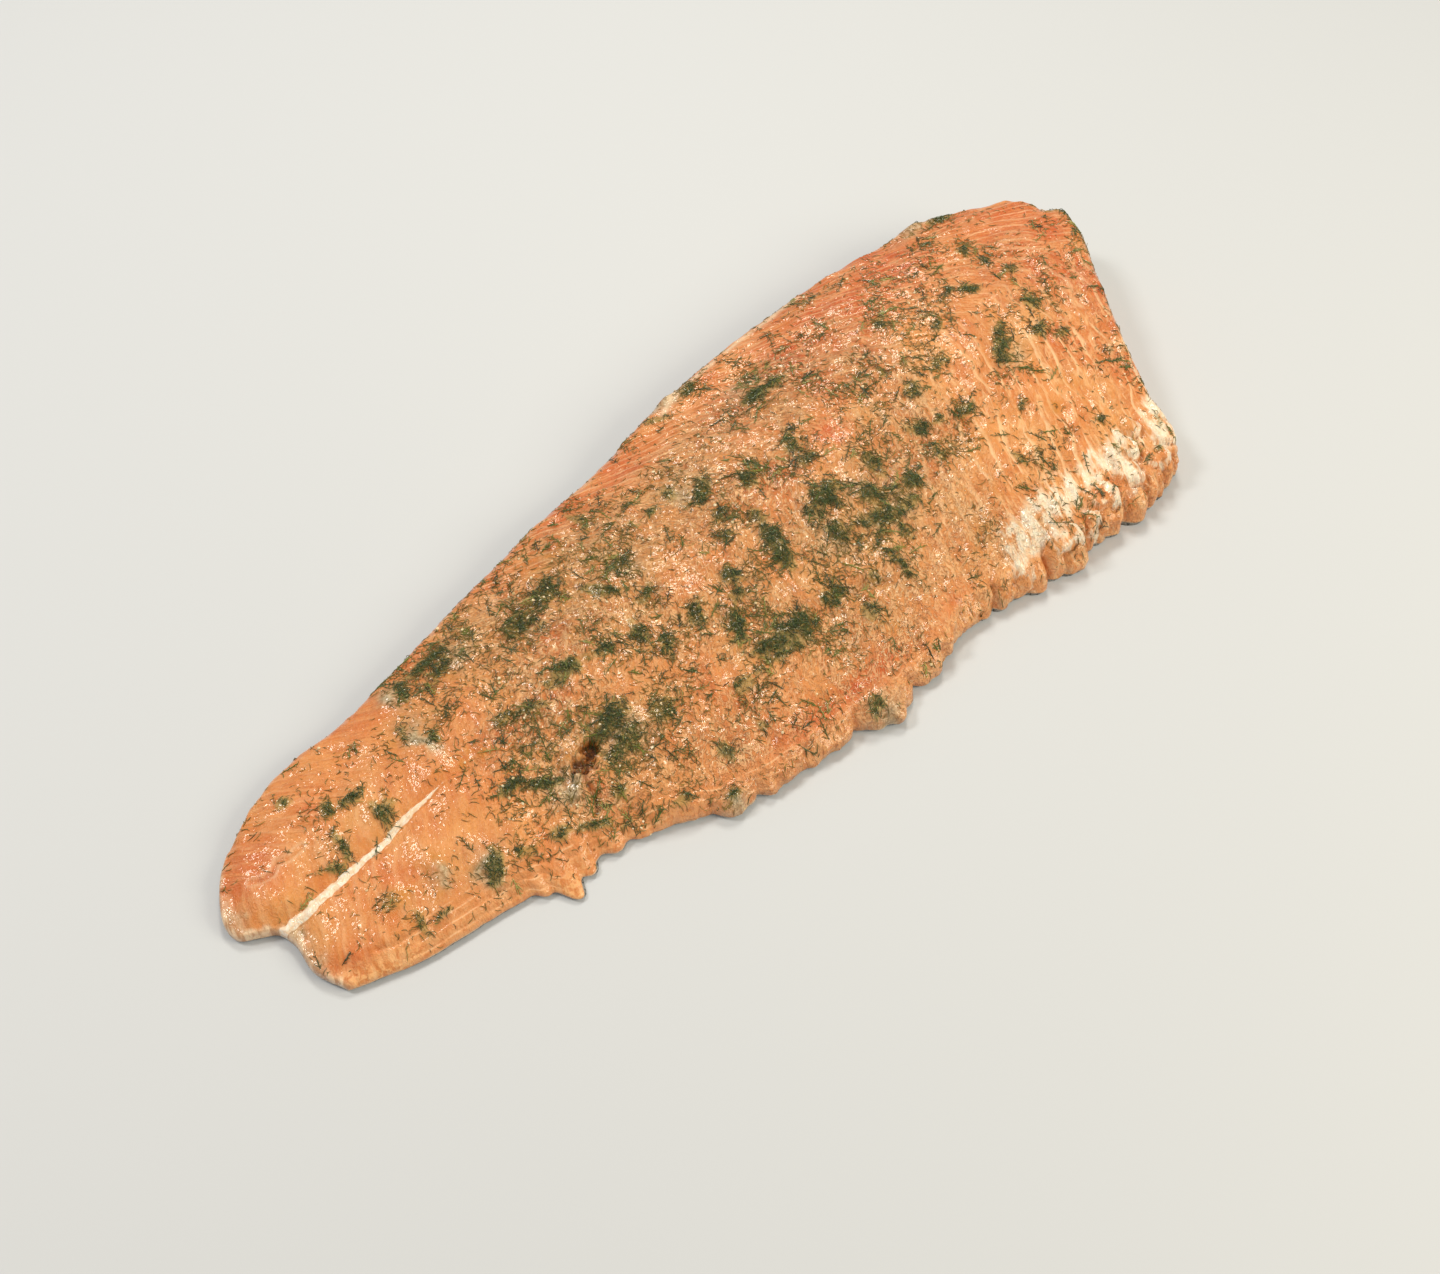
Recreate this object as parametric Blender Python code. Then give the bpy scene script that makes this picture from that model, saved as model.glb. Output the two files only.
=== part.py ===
"""A side of cured salmon lying skin down, with chopped dill on its cut face."""

import math
import random

import bmesh
import bpy
import numpy as np
from mathutils import Vector
from mathutils.bvhtree import BVHTree

MM = 0.001

# Plan of the side in millimetres, x from tail to head and y towards the back
BELLY = [(12, -41), (36, -50), (86, -59), (150, -73), (184, -90), (250, -101), (300, -104),
         (335, -98), (370, -104), (400, -110), (430, -109), (455, -112), (487, -109)]
BACK = [(9, 45), (41, 61), (91, 65), (140, 75), (205, 88), (262, 96), (311, 105),
        (366, 111), (432, 112), (480, 106), (520, 98), (551, 81)]
HEAD_CUT = [(487, -109), (500, -94), (509, -72), (532, -32), (553, -1), (574, 28),
            (579, 44), (572, 62), (551, 81)]
TAIL_END = [(12, -41), (6, -25), (7, -8), (5, -1), (-2, 4), (-9, 9), (-10, 16),
            (-6, 27), (1, 37), (9, 45)]
LENGTH = 570.0

# Torn lobes of the belly edge: place along, reach outwards, half width
LOBES = [(106, 14, 6), (117, 7, 8), (134, 3, 5), (186, 4, 8), (214, 2, 6), (240, 1.5, 6), (271, 9, 8),
         (303, 2, 5), (352, 2, 7), (378, 3, 7), (402, 3, 7), (430, 2, 7), (453, 3, 7), (476, 1.5, 6)]
LOBE_REACH = 22.0

# Thickness at stations from tail to head: along the ridge, at the belly edge and at the back edge
RIDGE_AT = [0, 0.04, 0.1, 0.2, 0.35, 0.5, 0.65, 0.8, 0.92, 1]
RIDGE = [9, 12, 14.5, 18.5, 24.5, 29.5, 34, 37.5, 39, 38]
BELLY_EDGE_AT = [0, 0.3, 0.6, 0.8, 1]
BELLY_EDGE = [8, 10, 11.5, 15, 17]
BACK_EDGE_AT = [0, 0.1, 0.3, 0.6, 1]
BACK_EDGE = [8, 11, 17, 24, 31]
SKIN_LIP = 2.0
UNDERCUT = 1.6

# Hollows and swellings of the cut face: place along and across, half sizes, depth or height
HOLLOWS = [(143, -45, 9, 8, -2.2), (572, 54, 6, 7, -4.0), (556, 72, 9, 8, 2.0), (566, 30, 8, 10, 1.5)]

# Loose folds of the belly by the head end: where they start along, height and spacing
FOLD_START = 345.0
FOLD_HEIGHT = 1.7
FOLD_SPACING = 26.0

GRID_ALONG = 90
GRID_ACROSS = 28

# Larger clumps of dill: place along and across, half length, half width, turn in degrees
CLUMPS = [(251, -48, 15, 10, 10), (324, -11, 13, 9, 60), (337, -28, 20, 13, -20),
          (170, -29, 11, 9, 30), (468, -1, 9, 7, 0), (172, 6, 9, 5, -10), (199, 45, 8, 6, 0),
          (352, 64, 14, 5, 12), (288, -8, 13, 4, 50), (261, -12, 8, 6, 0), (244, -30, 7, 6, 80),
          (122, -48, 13, 5, -25), (127, -27, 10, 4, -30), (225, 13, 7, 5, 20), (187, 42, 7, 5, 60),
          (237, -54, 8, 6, 0), (198, -72, 8, 5, -20), (360, -11, 7, 5, 40), (420, -18, 7, 5, 0),
          (407, 29, 8, 5, 70), (328, -50, 8, 6, 0), (291, 25, 7, 5, 45), (501, 5, 7, 5, 30),
          (47, 7, 9, 3, 80), (453, 31, 6, 4, 0), (110, 30, 7, 4, 60), (388, -27, 6, 5, 0),
          (512, 56, 7, 4, 70)]
CLUMP_HEIGHT = 3.0
CLUMP_ROOT = 2.0
CLUMP_SINK = 0.5

# Loose pieces of dill stalk, in lanes along the side clear of its edges
STALKS = 64
STALK_LANES = 4
STALK_LENGTH = 13.0
STALK_RADIUS = 1.2
STALK_SINK = 0.15
STALK_FIELD = (0.13, 0.90, 0.15, 0.83)

# Ragged hole in the flesh, its slit running back towards the tail
TEAR_AT = (150, -33, 16.5)
TEAR_HALF_WIDTH = 5.0
TEAR_DEPTH = 6.0
TEAR_SLIT = 1.9

SIDE_MIDDLE = 285.0
WELD = 0.000002
SEED = 31


def spline(points, t):
    """Smooth curve through the points, t from 0 to 1 by distance."""
    p = np.array(points, float)
    s = np.append(0, np.cumsum(np.linalg.norm(np.diff(p, axis=0), axis=1)))
    s /= s[-1]
    slope = np.gradient(p, s, axis=0)
    i = np.clip(np.searchsorted(s, t, side="right") - 1, 0, len(s) - 2)
    step = (s[i + 1] - s[i])[..., None]
    x = ((t - s[i]) / (s[i + 1] - s[i]))[..., None]
    start = (2 * x**3 - 3 * x**2 + 1) * p[i] + (x**3 - 2 * x**2 + x) * step * slope[i]
    end = (3 * x**2 - 2 * x**3) * p[i + 1] + (x**3 - x**2) * step * slope[i + 1]
    return start + end


def plan(u, v):
    """Place in plan of the point u along and v across the side."""
    belly, back = spline(BELLY, u), spline(BACK, u)
    tail, head = spline(TAIL_END, v), spline(HEAD_CUT, v)
    along, across = u[..., None], v[..., None]
    near = (1 - across) * np.array(BELLY[0]) + across * np.array(BACK[0])
    far = (1 - across) * np.array(BELLY[-1]) + across * np.array(BACK[-1])
    corners = (1 - along) * near + along * far
    place = (1 - across) * belly + across * back + (1 - along) * tail + along * head - corners
    inward = np.clip(1 - v * np.linalg.norm(belly - back, axis=-1) / LOBE_REACH, 0, 1) ** 2
    for where, reach, half_width in LOBES:
        bump = reach * np.exp(-((place[..., 0] - where) / half_width) ** 2)
        place[..., 1] -= bump * inward
    return place


def shoulder(distance, radius):
    """Rounding of an edge, 0 at the edge and 1 from the radius inwards."""
    return (1 - (1 - np.clip(distance / radius, 0, 1)) ** 2.3) ** (1 / 2.3)


def thickness(u, v):
    """Height of the smooth cut face over the skin side."""
    ridge = np.interp(u, RIDGE_AT, RIDGE)
    ridge_at = np.interp(u, [0, 0.5, 1], [0.55, 0.66, 0.72])
    belly_edge = np.interp(u, BELLY_EDGE_AT, BELLY_EDGE)
    back_edge = np.interp(u, BACK_EDGE_AT, BACK_EDGE)
    rise = np.sin(np.pi / 2 * np.clip(v / ridge_at, 0, 1)) ** 1.1
    fall = np.cos(np.pi / 2 * np.clip((v - ridge_at) / (1 - ridge_at), 0, 1)) ** 0.9
    z = np.where(v < ridge_at, belly_edge + (ridge - belly_edge) * rise,
                 back_edge + (ridge - back_edge) * fall)
    width = np.linalg.norm(spline(BELLY, u) - spline(BACK, u), axis=-1)
    edge = shoulder(v * width, np.interp(u, [0, 0.6, 1], [11, 12, 9]))
    edge *= shoulder((1 - v) * width, np.interp(u, [0, 0.4, 1], [9, 12, 12]))
    edge *= shoulder(u * LENGTH, 6)
    edge *= shoulder((1 - u) * LENGTH, 9)
    return SKIN_LIP + (z - SKIN_LIP) * edge, edge


def relief(x, y):
    """Hollows, seams and folds of the cut face, added to its thickness."""
    z = 0.7 * np.sin(x / 23 + y / 31) * np.sin(y / 17 - x / 41)
    z -= 1.4 * np.exp(-((y - x * 0.04 + 3.5) / 4) ** 2) * np.clip((112 - x) / 30, 0, 1)
    z -= 1.0 * np.exp(-((y - 22) / 9) ** 2) * np.clip((x - 130) / 80, 0, 1)
    folds = np.clip((x - FOLD_START) / 30, 0, 1) * np.clip((-70 - y) / 12, 0, 1)
    z += FOLD_HEIGHT * folds * np.sin(2 * np.pi * (x + 0.7 * y) / FOLD_SPACING)
    z -= 2.0 * folds * np.exp(-((y + 84) / 6) ** 2)
    for at_x, at_y, half_x, half_y, height in HOLLOWS:
        z += height * np.exp(-((x - at_x) / half_x) ** 2 - ((y - at_y) / half_y) ** 2)
    return z


def add_object(name, bm, collection):
    """Put a finished bmesh in the scene as an object."""
    mesh = bpy.data.meshes.new(name)
    bm.to_mesh(mesh)
    bm.free()
    thing = bpy.data.objects.new(name, mesh)
    collection.objects.link(thing)
    return thing


def make_flesh(collection):
    """The bare side: a drawn-down sheet closed by its skin underneath."""
    bm = bmesh.new()
    bmesh.ops.create_grid(bm, x_segments=GRID_ALONG, y_segments=GRID_ACROSS, size=0.5)
    verts = list(bm.verts)
    flat = np.array([vert.co[:2] for vert in verts]) + 0.5
    u = flat[:, 0].reshape(GRID_ACROSS + 1, GRID_ALONG + 1)
    v = 0.5 - 0.5 * np.cos(np.pi * flat[:, 1].reshape(u.shape))
    u = np.interp(u, [0, 0.03, 0.97, 1], [0, 0.01, 0.99, 1])
    place = plan(u.T, v.T).transpose(1, 0, 2)
    z, edge = thickness(u, v)
    z += relief(place[..., 0], place[..., 1]) * edge
    for vert, point, height in zip(verts, place.reshape(-1, 2), z.ravel()):
        vert.co = (point[0] * MM, point[1] * MM, max(height, SKIN_LIP * 0.9) * MM)
    rim = [edge for edge in bm.edges if edge.is_boundary]
    skin = bmesh.ops.extrude_edge_only(bm, edges=rim)["geom"]
    middle = Vector((SIDE_MIDDLE * MM, 0, 0))
    for vert in (item for item in skin if isinstance(item, bmesh.types.BMVert)):
        inward = (middle - vert.co).to_2d().normalized() * UNDERCUT * MM
        vert.co = (vert.co.x + inward.x, vert.co.y + inward.y, 0)
    bmesh.ops.holes_fill(bm, edges=[edge for edge in bm.edges if edge.is_boundary], sides=0)
    bmesh.ops.recalc_face_normals(bm, faces=bm.faces)
    return add_object("gravlax_side", bm, collection)


def make_tear(collection):
    """Cutter for the ragged hole and the slit that runs from it."""
    rng = random.Random(SEED)
    bm = bmesh.new()
    bmesh.ops.create_icosphere(bm, subdivisions=2, radius=1)
    for vert in bm.verts:
        rough = rng.uniform(0.8, 1.2)
        slit = TEAR_SLIT if vert.co.y < -0.3 else 1
        back = (slit - 1) * TEAR_HALF_WIDTH
        vert.co = Vector((TEAR_AT[0] + vert.co.x * TEAR_HALF_WIDTH * rough - back,
                          TEAR_AT[1] + vert.co.y * TEAR_HALF_WIDTH * rough * slit,
                          TEAR_AT[2] + vert.co.z * TEAR_DEPTH * rough)) * MM
    return add_object("tear", bm, collection)


def flesh_at(tree, x, y):
    """Point of the flesh under a place in plan."""
    above = Vector((x * MM, y * MM, 0.1))
    return tree.ray_cast(above, Vector((0, 0, -1)))[0]


def make_clump(tree, index, clump, rng, collection):
    """A low matted mound of chopped dill that follows the flesh."""
    x, y, half_length, half_width, turn = clump
    angle = math.radians(turn)
    start = rng.uniform(0, math.tau)
    bm = bmesh.new()
    bmesh.ops.create_uvsphere(bm, u_segments=9, v_segments=6, radius=1)
    for vert in bm.verts:
        around = math.atan2(vert.co.y, vert.co.x) + start
        ragged = 1 + 0.13 * math.sin(2 * around) + 0.12 * math.sin(3 * around)
        along = vert.co.x * half_length * ragged
        across = vert.co.y * half_width * ragged
        place_x = x + along * math.cos(angle) - across * math.sin(angle)
        place_y = y + along * math.sin(angle) + across * math.cos(angle)
        reach = CLUMP_HEIGHT if vert.co.z > 0 else CLUMP_ROOT
        lift = vert.co.z * reach * rng.uniform(0.7, 1.1) - CLUMP_SINK
        vert.co = flesh_at(tree, place_x, place_y) + Vector((0, 0, lift * MM))
    bmesh.ops.recalc_face_normals(bm, faces=bm.faces)
    return add_object(f"clump_{index}", bm, collection)


def make_stalk(tree, index, x, y, rng, collection):
    """One bent piece of dill stalk lying on the flesh, tapered to its ends."""
    length = STALK_LENGTH * rng.uniform(0.7, 1.2)
    radius = STALK_RADIUS * rng.uniform(0.85, 1.25)
    heading = rng.uniform(0, math.tau)
    bend = rng.uniform(-1.2, 1.2)
    bm = bmesh.new()
    bmesh.ops.create_cone(bm, cap_ends=True, segments=3, radius1=radius, radius2=radius, depth=1)
    sides = [edge for edge in bm.edges if abs(edge.verts[0].co.z - edge.verts[1].co.z) > 0.5]
    bmesh.ops.subdivide_edges(bm, edges=sides, cuts=3)
    for vert in bm.verts:
        along = vert.co.z
        taper = 1 - 0.45 * (2 * abs(along)) ** 3
        across = vert.co.x * taper + bend * length * along**2 / 2
        place_x = x + along * length * math.cos(heading) - across * math.sin(heading)
        place_y = y + along * length * math.sin(heading) + across * math.cos(heading)
        lift = vert.co.y * taper - STALK_SINK
        vert.co = flesh_at(tree, place_x, place_y) + Vector((0, 0, lift * MM))
    bmesh.ops.recalc_face_normals(bm, faces=bm.faces)
    return add_object(f"stalk_{index}", bm, collection)


def make_toppings(flesh, collection):
    """All dill that is large enough to show in the solid."""
    mesh = flesh.data
    tree = BVHTree.FromPolygons([vert.co for vert in mesh.vertices],
                                [face.vertices for face in mesh.polygons])
    rng = random.Random(SEED)
    for index, clump in enumerate(CLUMPS):
        make_clump(tree, index, clump, rng, collection)
    near, far, low, high = STALK_FIELD
    ranks = STALKS // STALK_LANES
    for index in range(STALKS):
        rank, lane = divmod(index, STALK_LANES)
        u = near + (far - near) * (rank + rng.uniform(0.2, 0.8)) / ranks
        v = low + (high - low) * (lane + rng.uniform(0.2, 0.8)) / STALK_LANES
        x, y = plan(np.array([[u]]), np.array([[v]]))[0, 0]
        make_stalk(tree, index, x, y, rng, collection)


def combine(solid, collection, operation):
    """Fuse or cut with everything in the collection, then remove its objects."""
    change = solid.modifiers.new(operation.lower(), "BOOLEAN")
    change.operation = operation
    change.operand_type = "COLLECTION"
    change.collection = collection
    with bpy.context.temp_override(object=solid):
        bpy.ops.object.modifier_apply(modifier=change.name)
    for thing in list(collection.objects):
        bpy.data.objects.remove(thing)
    bpy.data.collections.remove(collection)


def pieces_of(bm):
    """Sets of faces that hang together."""
    left = set(bm.faces)
    while left:
        start = left.pop()
        piece, queue = {start}, [start]
        while queue:
            for edge in queue.pop().edges:
                for face in edge.link_faces:
                    if face in left:
                        left.discard(face)
                        piece.add(face)
                        queue.append(face)
        yield piece


def clean(solid):
    """Keep the one outer shell, centred over the origin of the part."""
    bm = bmesh.new()
    bm.from_mesh(solid.data)
    bmesh.ops.remove_doubles(bm, verts=bm.verts, dist=WELD)
    bmesh.ops.dissolve_degenerate(bm, edges=bm.edges, dist=WELD)
    bmesh.ops.triangulate(bm, faces=bm.faces)
    shells = sorted(pieces_of(bm), key=len)
    for shell in shells[:-1]:
        bmesh.ops.delete(bm, geom=list(shell), context="FACES")
    xs = [vert.co.x for vert in bm.verts]
    ys = [vert.co.y for vert in bm.verts]
    centre = Vector(((min(xs) + max(xs)) / 2, (min(ys) + max(ys)) / 2, 0))
    bmesh.ops.translate(bm, verts=bm.verts, vec=-centre)
    bm.to_mesh(solid.data)
    bm.free()


def make_material():
    """Cured salmon flesh."""
    material = bpy.data.materials.new("cured_salmon")
    material.use_nodes = True
    shader = material.node_tree.nodes["Principled BSDF"]
    shader.inputs["Base Color"].default_value = (0.72, 0.31, 0.16, 1)
    shader.inputs["Roughness"].default_value = 0.38
    shader.inputs["Metallic"].default_value = 0.0
    return material


for thing in list(bpy.data.objects):
    bpy.data.objects.remove(thing)
part = bpy.data.collections.new("gravlax")
bpy.context.scene.collection.children.link(part)
cutters = bpy.data.collections.new("cutters")
bpy.context.scene.collection.children.link(cutters)
toppings = bpy.data.collections.new("toppings")
bpy.context.scene.collection.children.link(toppings)

side = make_flesh(part)
make_toppings(side, toppings)
make_tear(cutters)
combine(side, cutters, "DIFFERENCE")
combine(side, toppings, "UNION")
clean(side)
side.data.materials.clear()
side.data.materials.append(make_material())
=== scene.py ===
"""A cured side of salmon with chopped dill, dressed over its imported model."""

import math

import bmesh
import bpy
import numpy as np
from mathutils import Matrix, Vector
from mathutils.bvhtree import BVHTree


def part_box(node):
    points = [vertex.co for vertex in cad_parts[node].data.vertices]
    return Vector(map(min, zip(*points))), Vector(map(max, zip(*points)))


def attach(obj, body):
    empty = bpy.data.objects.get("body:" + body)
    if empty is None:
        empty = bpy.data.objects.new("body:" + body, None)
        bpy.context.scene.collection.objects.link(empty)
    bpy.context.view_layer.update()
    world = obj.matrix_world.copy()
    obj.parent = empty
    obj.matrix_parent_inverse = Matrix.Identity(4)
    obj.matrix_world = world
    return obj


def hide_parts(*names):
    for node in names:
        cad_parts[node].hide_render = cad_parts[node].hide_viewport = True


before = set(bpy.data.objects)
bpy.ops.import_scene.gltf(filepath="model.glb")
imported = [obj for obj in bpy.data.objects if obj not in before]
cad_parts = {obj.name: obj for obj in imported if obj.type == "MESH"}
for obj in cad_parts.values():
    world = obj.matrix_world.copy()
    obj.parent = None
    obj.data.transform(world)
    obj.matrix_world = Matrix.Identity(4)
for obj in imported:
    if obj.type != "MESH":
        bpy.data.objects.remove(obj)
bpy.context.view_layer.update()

# The side of salmon. One slab of orange flesh, cut off the backbone with a long knife and laid
# skin down. It is thick at the head end, thin at the forked tail end, high along the back, and
# its belly edge is soft and torn into lobes. Plan in millimetres, x from tail to head.

MM = 0.001
BELLY = [(12, -41), (36, -50), (86, -59), (150, -73), (184, -90), (250, -101), (300, -104),
         (335, -98), (370, -104), (400, -110), (430, -109), (455, -112), (487, -109)]
BACK = [(9, 45), (41, 61), (91, 65), (140, 75), (205, 88), (262, 96), (311, 105),
        (366, 111), (432, 112), (480, 106), (520, 98), (551, 81)]
HEAD_CUT = [(487, -109), (500, -94), (509, -72), (532, -32), (553, -1), (574, 28),
            (579, 44), (572, 62), (551, 81)]
TAIL_END = [(12, -41), (6, -25), (7, -8), (5, -1), (-2, 4), (-9, 9), (-10, 16),
            (-6, 27), (1, 37), (9, 45)]
LENGTH = 570
LOBES = [(107.5, 13, 5.4), (98, 4, 3), (119, 6.5, 5), (134, 3, 4), (146, 1.5, 3), (184, 4, 7),
         (205, 2, 5), (226, 2, 7), (243, 1.5, 4), (262, 5, 5), (272, 8, 5), (282, 3, 5),
         (303, 2.5, 6), (318, 1.5, 3), (352, 2, 6), (378, 3, 7), (402, 3, 7), (430, 2, 7),
         (453, 3, 7), (476, 1.5, 6)]
LOBE_REACH = 22
RIDGE_AT = [0, 0.04, 0.1, 0.2, 0.35, 0.5, 0.65, 0.8, 0.92, 1]
RIDGE = [9, 12, 14.5, 18.5, 24.5, 29.5, 34, 37.5, 39, 38]
BELLY_EDGE_AT = [0, 0.3, 0.6, 0.8, 1]
BELLY_EDGE = [8, 10, 11.5, 15, 17]
BACK_EDGE_AT = [0, 0.1, 0.3, 0.6, 1]
BACK_EDGE = [8, 11, 17, 24, 31]
SKIN_LIP = 2
UNDERCUT = 1.6
SOFT_TOP = 37
SOFT_ROOM = 8
TOP_GAP = 0.2
SEAM_APEX = 25
FLAKE = 10.5
ROWS_ALONG = 540
ROWS_ACROSS = 176

# Folds that cut into the belly edge: place along, depth, how far they run in, lean
CREASES = [(123, 2, 8, 0.2), (176, 2, 7, 0.1), (197, 2.5, 8, 0.5), (209, 1.5, 6, -0.2),
           (223, 2, 8, 0.4), (252, 3, 10, 0.5), (290, 3, 8, -0.4), (310, 2, 6, 0.5),
           (330, 2, 7, 0.3), (352, 5, 20, 0.5), (364, 2.5, 9, 0.4), (372, 2, 7, 0.7),
           (384, 6, 22, 0.45), (394, 2.5, 8, 0.3), (411, 6, 24, 0.5), (420, 2.5, 8, 0.6),
           (428, 2, 7, 0.2), (441, 4.5, 18, 0.55), (457, 6, 23, 0.3), (466, 3, 9, 0.5),
           (474, 4.5, 14, 0.2), (484, 4, 16, 0.1)]
CREASE_WIDTH = 2.4

# Curled flaps of belly fat that stand up towards the corner of the head end: place, half length,
# half width, turn in degrees, height
CURLS = [(455, -93, 12, 6.5, -59, 3.4), (467, -84, 9, 5.5, -75, 3), (478, -79, 7, 5, -70, 2.6),
         (434, -96, 11, 7, -35, 2.8), (490, -92, 9, 7, -50, 2.4), (398, -98, 12, 7, -25, 2.4),
         (476, -99, 8, 7, -50, 2.4), (417, -101, 8, 6, -35, 1.8)]

# Mounds: torn membrane, folds of the tail, the scrap of collar on the back edge, and the lumps
# and the dent of the head's top corner. Place, half sizes, height
MOUNDS = [(372, -96, 8, 6, 1.6), (135, -38, 8, 6, 1.6), (88, -41, 6, 8, 1.8),
          (268, -100, 9, 6, 1.5), (38, 33, 13, 8, 1.6), (22, 8, 12, 9, 1), (28, -22, 14, 8, 1.2),
          (104, 54, 5, 4, 1.6), (141, 47, 7, 8, 1.5), (103, 24, 4, 10, 1.2), (70, -28, 5, 9, 1),
          (508, 98, 11, 3.5, 7), (522, 95, 7, 3, 3.5), (318, 101, 7, 3, 3.4),
          (184, -90, 7, 5, 1.2), (310, -50, 7, 4, 1.2), (572, 54, 6, 7, -4),
          (556, 72, 9, 8, 2), (566, 30, 8, 10, 1.5)]

# Matted clumps of dill: place along and across, half length, half width, turn in degrees, how
# dense from 0 to 1
CLUMPS = [(252, -49, 14, 10, -5, 1), (266, -49, 8, 8, -50, 0.9), (325, -8, 12, 8, 10, 1),
          (345, -20, 8, 7, -50, 0.95), (337, -33, 14, 7, -25, 0.9), (318, -24, 8, 5, 60, 0.7),
          (354, -37, 8, 4, -10, 0.7), (343, -46, 5, 5, 0, 0.7), (168, -26, 13, 6, 20, 0.75),
          (166, -38, 13, 7, 0, 0.7), (190, -38, 9, 6, 10, 0.7), (172, 6, 11, 6, -15, 1),
          (190, 3, 8, 3, 0, 0.8), (193, 47, 10, 6, 10, 0.9), (172, 43, 9, 7, 30, 0.8),
          (176, 33, 8, 4, -20, 0.6), (210, 29, 14, 3, -50, 0.8), (228, 33, 7, 5, 0, 0.6),
          (225, 12, 8, 4, 30, 0.8), (232, 70, 4, 9, 0, 0.6), (208, -4, 9, 4, 70, 0.8),
          (214, -15, 7, 4, 60, 0.8), (235, -12, 6, 4, 80, 0.9), (262, -9, 8, 6, 60, 0.9),
          (252, -21, 12, 4, 40, 0.8), (244, -31, 8, 6, 70, 0.8), (289, -10, 15, 5, 76, 1),
          (293, 8, 7, 3, 70, 0.7), (276, 10, 6, 4, 0, 0.6), (283, 22, 4, 4, 0, 0.9),
          (285, 38, 8, 5, 30, 0.8), (274, 50, 7, 5, 0, 0.55), (260, 46, 5, 3, 0, 0.8),
          (307, 26, 6, 5, 60, 0.95), (352, 66, 14, 4, -5, 1), (340, 28, 8, 7, 40, 0.6),
          (338, 16, 6, 3, 0, 0.8), (359, -10, 9, 4, 80, 0.85), (366, -28, 6, 4, 10, 1),
          (389, -27, 7, 3, 85, 0.8), (396, -10, 10, 4, -15, 0.8), (419, -18, 7, 4, 0, 0.8),
          (405, 28, 7, 4, 20, 0.8), (419, 24, 4, 4, 0, 0.7), (407, 10, 7, 5, 0, 0.6),
          (432, 12, 7, 5, 0, 0.6), (432, 54, 6, 4, 60, 0.6), (453, 31, 4, 4, 0, 0.8),
          (463, -4, 9, 7, 40, 0.95), (471, 5, 7, 4, 50, 0.8), (485, 36, 6, 3, -30, 0.9),
          (475, 44, 6, 2.5, 10, 0.6), (506, 59, 6, 4, 60, 0.8), (508, 47, 4, 5, 0, 0.6),
          (513, 33, 5, 3, -20, 0.8), (502, 8, 6, 5, 70, 0.7), (488, -9, 6, 4, 50, 0.7),
          (498, -18, 4, 3, 0, 0.7), (290, -48, 9, 5, 0, 0.75), (312, -52, 5, 4, 0, 0.8),
          (327, -60, 15, 3, 90, 0.8), (225, -54, 7, 5, 0, 0.7), (237, -53, 5, 3, 0, 0.7),
          (218, -74, 5, 3, 30, 0.7), (297, -66, 7, 4, 70, 0.55), (198, -72, 4, 4, 0, 1),
          (270, -46, 6, 4, 0, 0.7), (40, 46, 4, 6, 10, 0.8), (52, 27, 3, 5, 0, 0.8),
          (63, 24, 7, 3, 0, 0.7), (47, 9, 9, 2.2, 82, 0.9), (68, 9, 8, 5, 50, 0.8),
          (38, 3, 6, 2.5, -20, 0.7), (111, 51, 8, 3, 75, 0.8), (126, 58, 13, 2.5, 5, 0.9),
          (131, 50, 7, 4, 20, 0.6), (108, 23, 6, 2.5, 100, 0.9), (98, 34, 6, 3, 70, 0.5),
          (136, 8, 7, 3, 20, 0.7), (147, 2, 8, 4, -30, 0.8), (117, -21, 8, 3, -10, 1),
          (128, -28, 9, 3, -35, 1), (88, -44, 8, 4, 55, 0.9), (101, -46, 5, 4, 0, 0.6),
          (118, -50, 8, 4, -20, 0.75), (133, -58, 8, 3, -30, 0.9), (145, -66, 6, 2, -10, 0.8),
          (150, -54, 4, 3, 0, 0.7), (169, -75, 6, 3, -20, 0.6), (50, -42, 7, 2.5, 70, 0.6),
          (60, -45, 6, 1.6, 0, 0.7), (46, -26, 7, 4, 0, 0.4), (418, -56, 2, 6, 0, 0.6),
          (444, -34, 4, 2, 30, 0.8), (469, -67, 3, 2, 0, 0.8), (521, -72, 2, 3, 0, 0.9),
          (481, -98, 3, 2, 0, 0.9), (575, 44, 4, 12, 10, 0.9), (571, 22, 4, 10, -30, 0.9),
          (550, 44, 7, 2, 60, 0.5), (517, 91, 12, 3, -20, 0.8), (330, 96, 6, 3, 10, 0.7),
          (186, -88, 5, 3, 0, 0.6), (264, -101, 5, 3, 20, 0.7), (425, 95, 18, 2, -3, 0.4),
          (306, 91, 7, 2, -30, 0.6), (412, -84, 5, 2, -50, 0.4), (492, -86, 5, 2, 50, 0.5)]

# The next six lists are soft spots on the face: place, half sizes, strength. First, flesh that
# the cure and the juice of the dill have turned tan
TANNED = [(213, 36, 30, 34, 0.8), (252, -22, 26, 28, 0.7), (337, -26, 36, 28, 0.8),
          (470, -2, 32, 16, 0.3), (172, -30, 24, 18, 0.8), (106, 32, 14, 18, 0.6),
          (74, -38, 18, 9, 0.7), (408, 14, 34, 20, 0.35), (130, 50, 20, 9, 0.6),
          (284, 32, 14, 24, 0.5), (290, -46, 24, 16, 0.5), (175, 42, 20, 12, 0.7),
          (55, 12, 24, 12, 0.4), (48, -28, 14, 9, 0.4), (390, -20, 22, 14, 0.4),
          (200, -62, 30, 10, 0.3), (230, 70, 26, 9, 0.5), (425, 95, 28, 5, 0.7)]

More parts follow.
